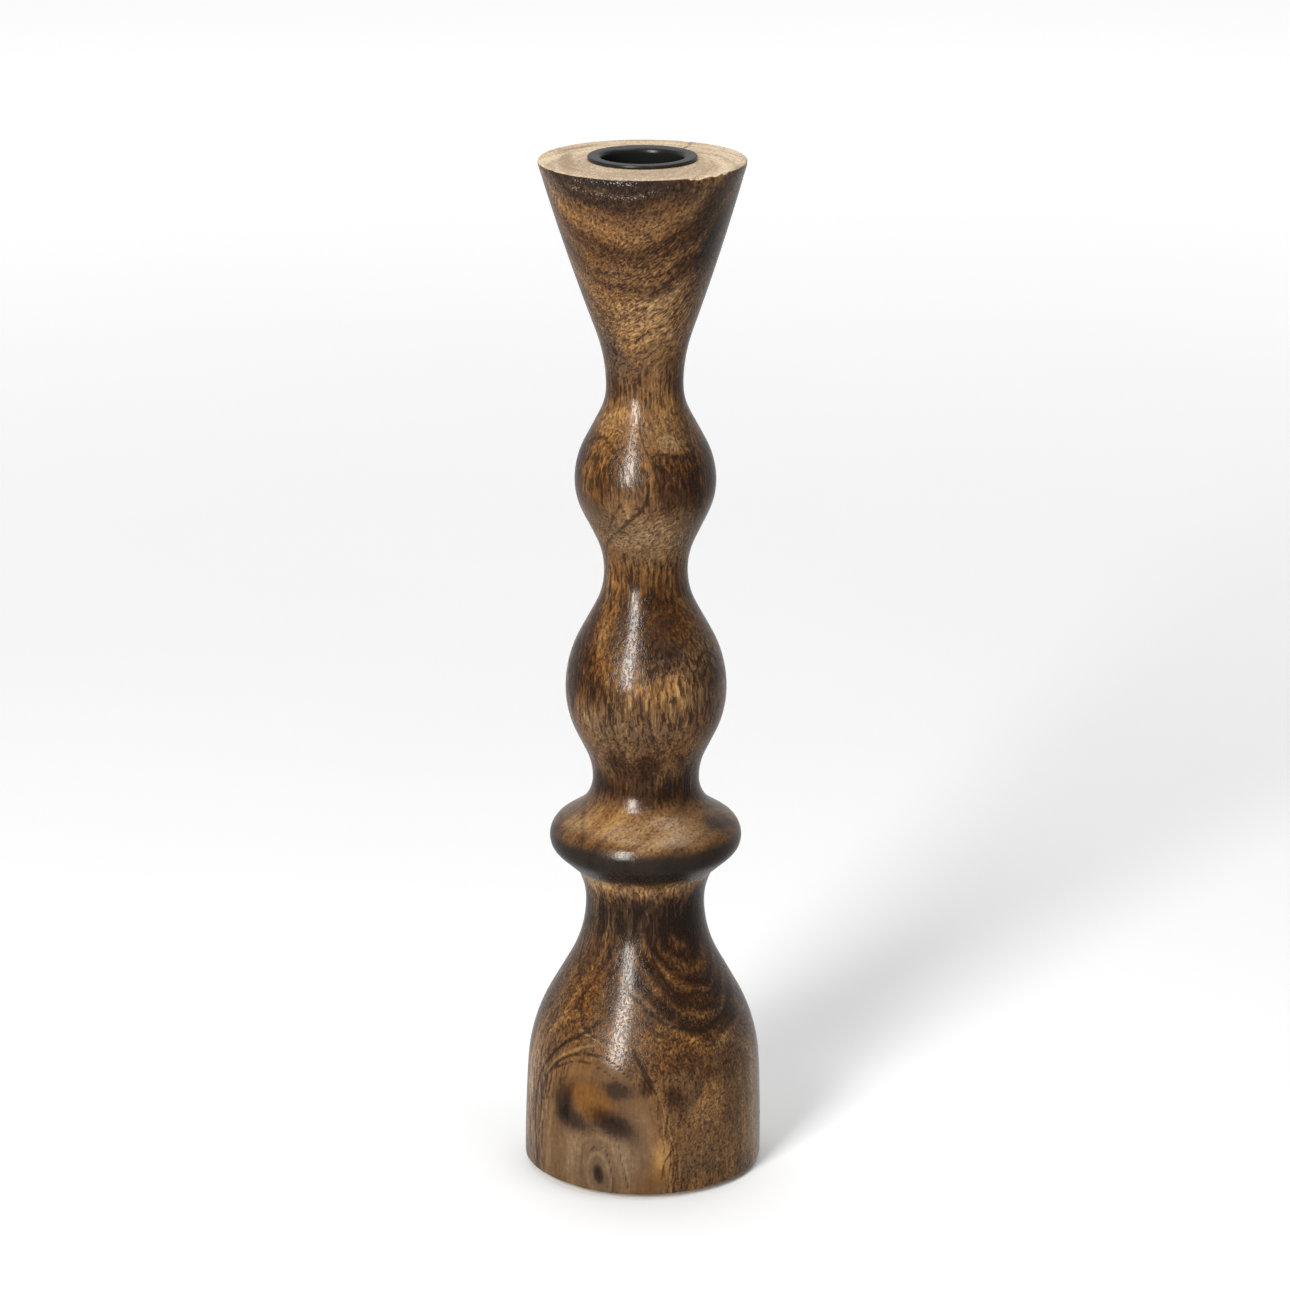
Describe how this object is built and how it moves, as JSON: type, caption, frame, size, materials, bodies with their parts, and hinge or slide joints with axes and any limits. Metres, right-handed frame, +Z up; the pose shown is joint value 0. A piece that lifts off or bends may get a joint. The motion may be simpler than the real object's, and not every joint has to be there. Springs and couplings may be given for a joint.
{
  "type": "turned wooden candlestick",
  "caption": "Tall turned wooden candlestick with a bell foot, collar, two beads and a flared head that holds a lift-out black steel cup for a straight dinner candle.",
  "frame": {"origin": "on the table, under the axis of the stick, at the undersides of the felt pads", "axes": "+Z up along the turning axis; the stick is a body of revolution, so +X and +Y are set only by the four pads, which lie on the diagonals"},
  "size_m": [0.0676, 0.0676, 0.2926],
  "materials": {
    "varnished_wood": "satin varnish over streaky brown hardwood, raw sanded end grain on the top face",
    "black_enamel": "black enamelled steel, satin on the flange and glossy inside",
    "felt": "pressed brown felt"
  },
  "bodies": {
    "stand": {"turned_body": "varnished_wood", "felt_pad_1": "felt", "felt_pad_2": "felt", "felt_pad_3": "felt", "felt_pad_4": "felt"},
    "cup": {"candle_cup": "black_enamel"}
  },
  "joints": [
    {"name": "cup_lift", "type": "slide", "parent": "stand", "child": "cup", "axis": [0, 0, 1], "range_m": [0, 0.026]}
  ]
}
